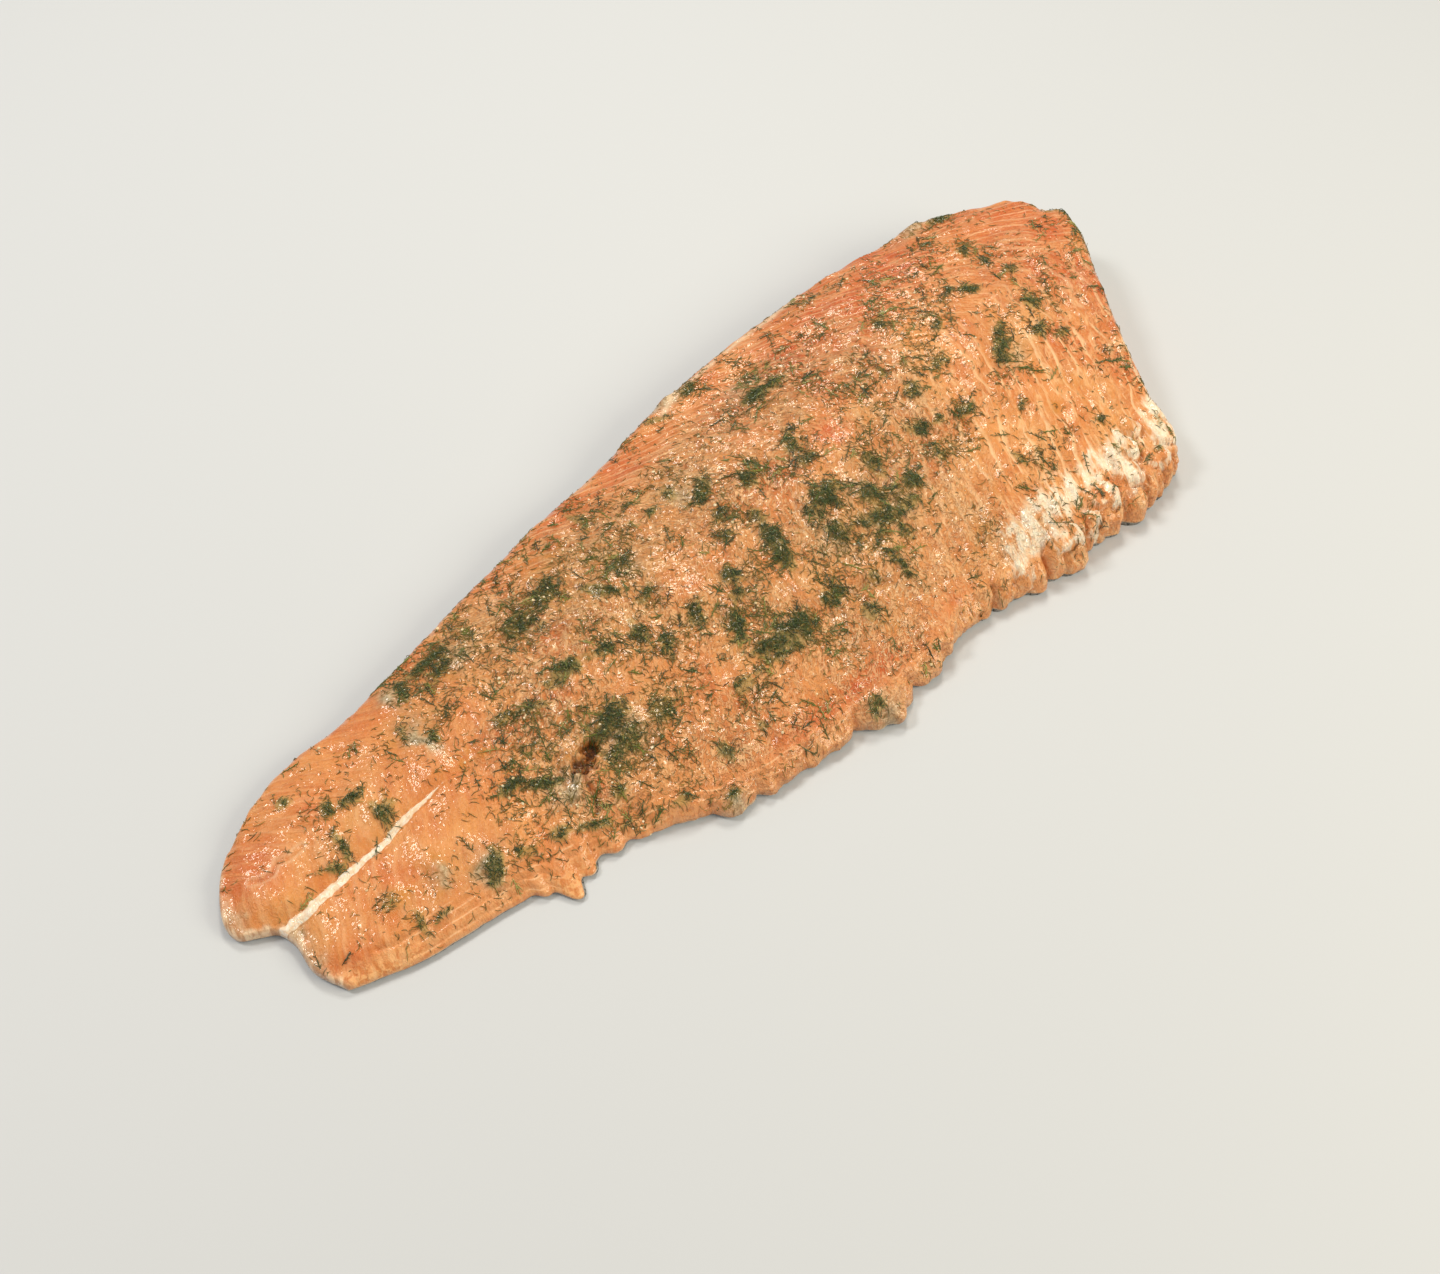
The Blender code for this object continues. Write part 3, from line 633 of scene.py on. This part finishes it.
# pale seams between the flakes, broken here and there, and a finer grain of seams between them
flake_share = maths("FRACT", maths("MULTIPLY_ADD", fibre, 0.16, "flake"))
flake_gap = maths("ABSOLUTE", maths("SUBTRACT", flake_share, 0.5))
broken = step(noise(20, detail=2), 0.38, 0.54)
seam = maths("ADD", step(flake_share, 0.28, 0.05), step(flake_share, 0.94, 1.0))
seam = both(seam, broken, "flaky")
lay(both(seam, 0.8), (252, 210, 162))
hair = maths("ABSOLUTE", maths("SUBTRACT", streak, 0.5))
hair = both(step(hair, 0.045, 0.0), step(patch, 0.36, 0.56), "flaky")
lay(both(hair, 0.7), (248, 198, 144))
# the belly wall in its own paler, streaked colour, partly painted light: lightened and warmed where
# it faces away from the lamps
skirt_and_painted_light = blend(step(fine, 0.4, 0.6), (212, 134, 72), (250, 196, 134))
lay(both("side_face", 0.65), skirt_and_painted_light)
lay(both("pleated", 0.6), (236, 152, 82))
ply = noise(3.2, detail=2, distortion=0.6, place=flesh.scaled(along_ribs, (1, 0.22, 1)))
folded = maths("MAXIMUM", "pleated", both("side_face", 0.6))
plies = both(step(ply, 0.46, 0.62), folded, 0.65)
lay(plies, (252, 204, 150))
stripe = maths("ADD", both(maths("SUBTRACT", ply, 0.5), 3.2),
               both(maths("SUBTRACT", flake_gap, 0.27), 1.2))
stripe = maths("ADD", stripe, both(maths("SUBTRACT", patch, 0.5), 1.4))
fat_share = maths("ADD", "fatty", stripe)
fat_edge = step("fatty", 0.04, 0.5)
soft_fat = both(step(fat_share, -0.05, 0.5), fat_edge)
lay(both(soft_fat, 0.7), (248, 200, 156))
fat_share = both(step(fat_share, -0.05, 0.85), fat_edge)
fat_shade = blend(step(fine, 0.35, 0.6), (255, 226, 192), (255, 244, 222))
lay(both(fat_share, 0.97), fat_shade)

# the layered strip at the belly of the tail, shade painted in the folds, set membrane, amber oil
# and the fat line
layer_gap = maths("FRACT", maths("DIVIDE", "from_belly", 3.6))
layer_gap = maths("ABSOLUTE", maths("SUBTRACT", layer_gap, 0.5))
layer_line = both(step(layer_gap, 0.14, 0.03), "strip")
lay(both("strip", 0.5), (222, 142, 82))
lay(both(layer_line, step(patch, 0.42, 0.62), 0.7), (250, 200, 152))
# painted shade: darker in the folds of the belly edge and in the gaps under the curled flaps
lay(both("crease", 0.45), (184, 100, 44))
oil = both("amber", step(patch, 0.3, 0.5))
lay(both(oil, 0.8), (206, 132, 40))
milk = both("milky", step(patch, 0.15, 0.4))
milk_shade = blend(step(fine, 0.35, 0.65), (128, 120, 88), (208, 196, 164))
lay(both(milk, 0.85), milk_shade)
end_shade = blend(step(ply, 0.42, 0.6), (190, 146, 110), (240, 216, 184))
lay(both("end_face", 0.75), end_shade)
lay(both("rim_line", 0.85), (248, 216, 180))
fat_line = step("spine", -0.1, 0.35)
fat_line_shade = blend(step(fine, 0.4, 0.6), (250, 222, 190), (255, 246, 230))
lay(fat_line, fat_line_shade)

# juice and fine leaf between the threads of the matted dill
lay(both(step("mat", 0.05, 0.6), 0.6), (160, 142, 74))
green = maths("ADD", "mat", both(maths("SUBTRACT", fine, 0.5), 1.8))
leaf_green = blend(step(grain, 0.35, 0.62), (46, 58, 24), (120, 118, 56))
lay(both(step(green, 0.6, 1.05), 0.75), leaf_green)
hole_shade = blend(step(fine, 0.4, 0.6), (92, 56, 22), (184, 112, 52))
lay(step("hole", 0.15, 0.7), hole_shade)

# the skin: small scales, silver at the belly and dark at the back
scales = flesh.add("TexVoronoi", Vector=flesh.scaled(flesh.place, (1.0, 1.35, 1.35)),
                   Scale=1 / (4.2 * MM), Randomness=0.35)
scales.feature = "DISTANCE_TO_EDGE"
scale_edge = step(scales.outputs["Distance"], 0.0, 0.16)
silver = blend(step("across", -60, 10), (206, 204, 196), (150, 154, 154))
silver = blend(step("across", 30, 90), silver, (74, 82, 84))
silver = blend(scale_edge, (88, 90, 88), silver)
blot = both(step(noise(11, detail=1), 0.66, 0.7), step("across", 20, 60))
silver = blend(both(blot, 0.8), silver, (34, 38, 38))
skin_depth = maths("ADD", "skin", both(maths("SUBTRACT", patch, 0.5), 1.5))
lay(both(step(skin_depth, -0.9, -0.5), 0.8), (226, 200, 170))
skin_share = step(skin_depth, -0.1, 0.15)
lay(skin_share, silver)

# the film of brine over the flesh follows only the coarser lumps, and so it glints
film = bump(noise(2.4, detail=1.5), 0.55)
smooth = maths("SUBTRACT", 1.0, "milky")
normal = bump(both(fine, "wrinkled", smooth), 2.4)
normal = bump(both(squiggle, "wrinkled"), 0.5, normal)
normal = bump(fibre, 0.6, normal)
normal = bump(grain, 0.3, normal)
normal = bump(both(scale_edge, skin_share), 0.3, normal)
flesh.set(Base_Color=flesh.shade, Roughness=maths("MULTIPLY_ADD", patch, 0.25, 0.22),
          Normal=normal, Coat_Normal=film, Coat_Weight=0.55, Coat_Roughness=0.1, IOR=1.42,
          Subsurface_Weight=0.06, Subsurface_Radius=(1.0, 0.35, 0.18), Subsurface_Scale=0.002)
flesh_mesh.materials.append(flesh.material)


def placed(name, data):
    """A new object in the scene."""
    thing = bpy.data.objects.new(name, data)
    bpy.context.scene.collection.objects.link(thing)
    return thing


side = placed("salmon_flesh", flesh_mesh)
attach(side, "root")
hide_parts("gravlax_side")

# Chopped dill. Fine dark fronds, cut short with a knife and pressed into the face by the cure.
# They lie as matted clumps, as small torn sprigs and as loose threads, some of them forked.

THREAD_POINTS = 4
STREWN_X = (-8, 582)
STREWN_Y = (-112, 112)
face_tree = BVHTree.FromPolygons([Vector(p) for p in flat_points], quads.reshape(-1, 4).tolist())


def to_part(plan_x, plan_y):
    """Places in plan, in millimetres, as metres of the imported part."""
    return ((plan_x - own_low[0]) * fit[0] + low[0], (plan_y - own_low[1]) * fit[1] + low[1])


def face_height(part_x, part_y):
    """Height of the face under each place, nan beside the side."""
    heights = np.full(part_x.size, np.nan)
    down = Vector((0, 0, -1))
    for index, (at_x, at_y) in enumerate(zip(part_x.ravel(), part_y.ravel())):
        hit = face_tree.ray_cast(Vector((at_x, at_y, 0.1)), down)[0]
        if hit is not None:
            heights[index] = hit.z
    return heights.reshape(part_x.shape)


def lay_threads(rng, start_x, start_y, length, heading, curl, stack):
    """Centre lines of threads that lie on the face, in metres of the part."""
    count = len(start_x)
    turn = rng.normal(0, curl, count)
    twist = rng.normal(0, curl * 0.6, count)
    stride = length / (THREAD_POINTS - 1)
    xs, ys = [start_x], [start_y]
    for joint in range(THREAD_POINTS - 1):
        heading = heading + turn + twist * (joint - 1)
        xs.append(xs[-1] + np.cos(heading) * stride)
        ys.append(ys[-1] + np.sin(heading) * stride)
    line_x, line_y = to_part(np.array(xs).T, np.array(ys).T)
    arch = np.sin(np.linspace(0, np.pi, THREAD_POINTS))[None, :]
    arch = arch * rng.uniform(0, 0.45, count)[:, None]
    tilt = np.linspace(-1, 1, THREAD_POINTS)[None, :] * rng.normal(0, 0.12, count)[:, None]
    line_z = face_height(line_x, line_y) + (stack[:, None] + arch + tilt) * MM
    return np.stack([line_x, line_y, line_z], axis=-1)


def forked(rng, lines, share):
    """Side threads that branch off some of the lines."""
    chosen = lines[rng.random(len(lines)) < share]
    root, span = chosen[:, 1], chosen[:, -1] - chosen[:, 1]
    turn = np.radians(rng.uniform(25, 55, len(chosen))) * rng.choice([-1, 1], len(chosen))
    shrink = rng.uniform(0.5, 0.9, len(chosen))
    swing = np.stack([span[:, 0] * np.cos(turn) - span[:, 1] * np.sin(turn),
                      span[:, 0] * np.sin(turn) + span[:, 1] * np.cos(turn)], axis=-1)
    steps = np.linspace(0, 1, THREAD_POINTS)[None, :, None]
    flat = root[:, None, :2] + swing[:, None, :] * shrink[:, None, None] * steps
    return np.concatenate([flat, chosen[:, :, 2:]], axis=-1)


def add_piece(name, mesh, finish):
    """Put one piece of the topping on the side."""
    mesh.materials.append(finish.material)
    piece = placed(name, mesh)
    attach(piece, "root")


def add_threads(name, lines, radius, tone, finish):
    """Three-sided tapered tubes along the lines, with a tone painted on each."""
    keep = np.isfinite(lines).all(axis=(1, 2))
    lines, radius, tone = lines[keep], radius[keep], tone[keep]
    count, joints = lines.shape[:2]
    along = np.gradient(lines, axis=1)
    along /= np.linalg.norm(along, axis=2)[..., None] + 1e-12
    side_way = np.cross(along, [0, 0, 1.0])
    side_way /= np.linalg.norm(side_way, axis=2)[..., None] + 1e-12
    up_way = np.cross(side_way, along)
    taper = np.interp(np.linspace(0, 1, joints), [0, 0.3, 0.7, 1], [0.6, 1, 0.9, 0.3])
    thick = radius[:, None, None] * taper[None, :, None] * MM
    corners = []
    for corner in range(3):
        angle = math.tau * corner / 3 + math.pi / 2
        corners.append(lines + (side_way * math.cos(angle) + up_way * math.sin(angle)) * thick)
    verts = np.stack(corners, axis=2).reshape(-1, 3)
    number = np.arange(count * joints * 3).reshape(count, joints, 3)
    sides = [np.stack([number[:, :-1, corner], number[:, 1:, corner],
                       number[:, 1:, (corner + 1) % 3], number[:, :-1, (corner + 1) % 3]], axis=-1)
             for corner in range(3)]
    quad_faces = np.concatenate(sides, axis=1).reshape(-1, 4)
    caps = np.concatenate([number[:, 0, :], number[:, -1, ::-1]])
    mesh = bpy.data.meshes.new(name)
    mesh.from_pydata(verts.tolist(), [], quad_faces.tolist() + caps.tolist())
    mesh.shade_smooth()
    paint(mesh, "tone", np.repeat(tone, joints * 3))
    add_piece(name, mesh, finish)


def dill_finish(name, dark, middle, light):
    """Wet dill leaf in three greens, by the tone of each thread."""
    leaf = Finish(name)
    leaf.shade = leaf.blend(leaf.step("tone", 0.0, 0.55), dark, middle)
    leaf.lay(leaf.step("tone", 0.55, 1.0), light)
    mottle = leaf.noise(1.2, detail=2)
    leaf.lay(leaf.both(leaf.step(mottle, 0.58, 0.8), 0.35), (152, 146, 80))
    leaf.set(Base_Color=leaf.shade, Roughness=leaf.math("MULTIPLY_ADD", mottle, 0.3, 0.25),
             Normal=leaf.bump(leaf.noise(0.4, detail=2), 0.08), Coat_Weight=0.7,
             Coat_Roughness=0.12)
    return leaf


def strewn(rng, count, chance_at, tries=12):
    """Places over the face, kept by a chance that depends on where they are."""
    xs = rng.uniform(*STREWN_X, count * tries)
    ys = rng.uniform(*STREWN_Y, count * tries)
    keep = rng.random(xs.size) < chance_at(xs, ys)
    return xs[keep][:count], ys[keep][:count]


def loose_chance(xs, ys):
    """How thickly loose dill lies: most in the middle, little on the tail, belly and fat."""
    chance = 0.07 + 0.6 * rise(-0.3, 0.7, uneven(xs, ys, 15, 31) + 0.5 * uneven(xs, ys, 5, 32))
    back_of_tail = 0.5 * rise(22, 34, ys) * rise(18, 40, xs)
    chance *= 0.16 + 0.84 * np.maximum(rise(70, 150, xs), back_of_tail)
    chance *= 1 - 0.8 * spots(xs, ys, CLEAR)
    chance *= 1 - 0.6 * rise(0.3, 0.6, spots(xs, ys, FAT))
    chance *= 0.1 + 0.9 * rise(2.0, 4.5, from_line(xs, ys, SPINE)[0])
    chance *= (1 - 0.65 * rise(-62, -84, ys)) * (1 - 0.2 * rise(420, 500, xs))
    chance *= 1 - 0.2 * rise(55, 85, ys)
    halo = spots(xs, ys, [(at_x, at_y, half_x + 7, half_x * 0.4 + half_y * 0.6 + 6, dense)
                          for at_x, at_y, half_x, half_y, turn, dense in CLUMPS])
    return chance * (0.6 + halo)


DARK_LEAF = dill_finish("dill_leaf_dark", (38, 58, 26), (78, 98, 40), (186, 186, 100))
OLIVE_LEAF = dill_finish("dill_leaf_olive", (88, 82, 30), (132, 114, 44), (184, 152, 68))
FRESH_LEAF = dill_finish("dill_leaf_fresh", (54, 80, 26), (92, 118, 36), (152, 160, 66))
MAT_THREADS = 9400
MAT_TRIES = 36
LOOSE_THREADS = 7400
LITTER = 8600
LOOSE_TRIES = 24
SPRIGS = 620
SPRIG_LEAVES = 8
FRESH_SHARE = 0.22


def matted_chance(xs, ys):
    """How thickly the threads of the clumps lie, with thin places and gaps in the mats."""
    gaps = rise(-0.35, 0.4, uneven(xs, ys, 2.2, 65) + 0.5 * uneven(xs, ys, 6, 66))
    return matted(xs, ys) ** 1.15 * (0.12 + 0.88 * gaps)


rng = np.random.default_rng(71)
mat_x, mat_y = strewn(rng, MAT_THREADS, matted_chance, MAT_TRIES)
mat_heading = 2.4 * uneven(mat_x, mat_y, 6, 67) + rng.normal(0, 1.0, len(mat_x))
mat_lines = lay_threads(rng, mat_x, mat_y, rng.uniform(1.6, 4.2, len(mat_x)), mat_heading,
                        0.4, rng.uniform(0, 0.8, len(mat_x)))
mat_tone = 0.85 * rng.beta(1.1, 2.2, len(mat_x))
mat_tone += 0.075 + 0.075 * uneven(mat_x, mat_y, 12, 68)
add_threads("dill_clumps", mat_lines, rng.uniform(0.13, 0.23, len(mat_x)), mat_tone, DARK_LEAF)

rng = np.random.default_rng(72)
loose_x, loose_y = strewn(rng, LOOSE_THREADS, loose_chance, LOOSE_TRIES)
loose_heading = 2.0 * uneven(loose_x, loose_y, 9, 69) + rng.normal(0, 1.2, len(loose_x))
loose_lines = lay_threads(rng, loose_x, loose_y, rng.uniform(1.8, 5.8, len(loose_x)), loose_heading,
                          0.45, rng.uniform(0.0, 0.25, len(loose_x)))
loose_lines = np.concatenate([loose_lines, forked(rng, loose_lines, 0.3)])
add_threads("dill_threads", loose_lines, rng.uniform(0.16, 0.27, len(loose_lines)),
            rng.beta(2, 2.4, len(loose_lines)), OLIVE_LEAF)


def litter_chance(xs, ys):
    """Fine litter lies round the mats and over the middle, in drifts."""
    drift = rise(-0.2, 0.5, uneven(xs, ys, 10, 81) + 0.6 * uneven(xs, ys, 4, 82))
    return loose_chance(xs, ys) * (0.2 + 1.5 * drift)


# broken tips, finer than the threads, most of them turned brown by the salt
rng = np.random.default_rng(76)
litter_x, litter_y = strewn(rng, LITTER, litter_chance, LOOSE_TRIES)
litter_lines = lay_threads(rng, litter_x, litter_y, rng.uniform(1.0, 3.4, len(litter_x)),
                           rng.uniform(0, math.tau, len(litter_x)), 0.5,
                           rng.uniform(0.0, 0.2, len(litter_x)))
add_threads("dill_litter", litter_lines, rng.uniform(0.13, 0.22, len(litter_lines)),
            rng.beta(2.2, 2.0, len(litter_lines)), OLIVE_LEAF)

# small sprigs, a stalk with fine side leaves on both sides
rng = np.random.default_rng(73)
sprig_x, sprig_y = strewn(rng, SPRIGS, loose_chance)
sprig_heading = rng.uniform(0, math.tau, len(sprig_x))
sprig_length = rng.uniform(4, 11, len(sprig_x))
leaf_at = np.tile(np.linspace(0.1, 0.95, SPRIG_LEAVES), len(sprig_x))
leaf_at = leaf_at + rng.uniform(-0.08, 0.05, len(leaf_at))
leaf_side = np.tile(np.arange(SPRIG_LEAVES) % 2 * 2 - 1, len(sprig_x))
owner = np.repeat(np.arange(len(sprig_x)), SPRIG_LEAVES)
leaf_x = sprig_x[owner] + np.cos(sprig_heading[owner]) * sprig_length[owner] * leaf_at
leaf_y = sprig_y[owner] + np.sin(sprig_heading[owner]) * sprig_length[owner] * leaf_at
leaf_heading = sprig_heading[owner] + leaf_side * rng.uniform(0.4, 1.0, len(owner))
leaf_length = rng.uniform(1.5, 3.8, len(owner)) * (1.15 - 0.5 * leaf_at)
stems = lay_threads(rng, sprig_x, sprig_y, sprig_length, sprig_heading, 0.02,
                    np.full(len(sprig_x), 0.2))
leaves = lay_threads(rng, leaf_x, leaf_y, leaf_length, leaf_heading, 0.25,
                     rng.uniform(0.05, 0.4, len(owner)))
sprig_tone = rng.beta(2, 2, len(sprig_x))
sprig_all = np.concatenate([stems, leaves])
sprig_tones = np.concatenate([sprig_tone, sprig_tone[owner]])
sprig_radius = np.concatenate([np.full(len(stems), 0.27), rng.uniform(0.15, 0.24, len(leaves))])
fresh = np.concatenate([sprig_x, sprig_x[owner]]) % 1 < FRESH_SHARE
for name, some, finish in (("dill_sprigs", ~fresh, DARK_LEAF),
                           ("dill_fresh_tips", fresh, FRESH_LEAF)):
    add_threads(name, sprig_all[some], sprig_radius[some], sprig_tones[some], finish)

# Cracked white pepper. Pale broken grains, crushed coarse and rubbed over the face with the
# salt. Each is a small angular crumb, sunk a little in the flesh.

PEPPER_GRAINS = 620
rng = np.random.default_rng(75)
grain_x, grain_y = strewn(rng, PEPPER_GRAINS, loose_chance)
grain_bm = bmesh.new()
bmesh.ops.create_icosphere(grain_bm, subdivisions=1, radius=1)
grain_ball = np.array([vert.co for vert in grain_bm.verts])
grain_faces = np.array([[vert.index for vert in face.verts] for face in grain_bm.faces])
grain_bm.free()
grain_at = np.column_stack(to_part(grain_x, grain_y))
grain_at = np.column_stack([grain_at, face_height(*grain_at.T)])
grain_at = grain_at[np.isfinite(grain_at[:, 2])]
grain_size = np.clip(rng.lognormal(-0.75, 0.42, len(grain_at)), 0.22, 1.0)
grain_shape = rng.uniform(0.6, 1.2, (len(grain_at), 1, 3)) * rng.uniform(
    0.75, 1.2, (len(grain_at), len(grain_ball), 1))
grain_verts = grain_ball[None] * grain_shape * grain_size[:, None, None] * MM + grain_at[:, None]
grain_verts[..., 2] += 0.25 * MM
grain_number = grain_faces[None] + (np.arange(len(grain_at)) * len(grain_ball))[:, None, None]
grain_mesh = bpy.data.meshes.new("pepper_grains")
grain_mesh.from_pydata(grain_verts.reshape(-1, 3).tolist(), [],
                       grain_number.reshape(-1, 3).tolist())
paint(grain_mesh, "tone", np.repeat(rng.random(len(grain_at)), len(grain_ball)))
pepper = Finish("cracked_pepper")
pepper.shade = pepper.blend("tone", (232, 206, 156), (252, 238, 206))
pepper.lay(pepper.step(pepper.noise(0.6), 0.6, 0.75), (176, 134, 80))
pepper.set(Base_Color=pepper.shade, Roughness=0.35, Coat_Weight=0.3, Coat_Roughness=0.1,
           Normal=pepper.bump(pepper.noise(0.35), 0.1))
add_piece("pepper_grains", grain_mesh, pepper)

# The stage: a plain pale floor, two soft lamps above the back edge and a warmer one before the
# belly edge, and the camera, which stands over the belly side and looks down to the back.

floor_mesh = bpy.data.meshes.new("floor")
floor_mesh.from_pydata([(-6, -6, 0), (6, -6, 0), (6, 6, 0), (-6, 6, 0)], [], [(0, 1, 2, 3)])
floor_finish = Finish("pale_floor")
floor_finish.set(Base_Color=(0.61, 0.65, 0.71, 1), Roughness=0.6)
floor_mesh.materials.append(floor_finish.material)
floor = placed("floor", floor_mesh)

world = bpy.data.worlds.new("studio")
world.use_nodes = True
background = world.node_tree.nodes["Background"].inputs
background["Color"].default_value = (1.0, 0.91, 0.8, 1)
background["Strength"].default_value = 0.46
bpy.context.scene.world = world
bpy.context.scene.view_settings.view_transform = "Standard"


def add_lamp(name, at, size, power, tint):
    """Square soft light that faces the middle of the side."""
    data = bpy.data.lights.new(name, "AREA")
    data.shape = "SQUARE"
    data.size = size
    data.energy = power
    data.color = tint
    lamp = placed(name, data)
    lamp.location = at
    lamp.rotation_euler = (-Vector(at)).to_track_quat("-Z", "Y").to_euler()


add_lamp("key", (-0.7, 1.0, 1.5), 0.4, 12.5, (1.0, 0.95, 0.85))
add_lamp("back", (0.72, 0.78, 1.45), 0.4, 11.5, (1.0, 0.94, 0.8))
add_lamp("fill", (0.7, -1.2, 0.9), 0.8, 15, (1.0, 0.9, 0.68))

CAMERA_AT = (-30.6, -312.0, 566.0)
CAMERA_HEADING = -43.1
CAMERA_PITCH = 35.5
CAMERA_ROLL = -0.72
LENS = 36.05
camera_data = bpy.data.cameras.new("camera")
camera_data.lens = LENS
camera_data.sensor_width = 36
camera = placed("camera", camera_data)
camera_x, camera_y = to_part(*CAMERA_AT[:2])
camera.matrix_world = (Matrix.Translation((camera_x, camera_y, CAMERA_AT[2] * MM))
                       @ Matrix.Rotation(math.radians(CAMERA_HEADING), 4, "Z")
                       @ Matrix.Rotation(math.radians(CAMERA_PITCH), 4, "X")
                       @ Matrix.Rotation(math.radians(CAMERA_ROLL), 4, "Z"))
bpy.context.scene.camera = camera
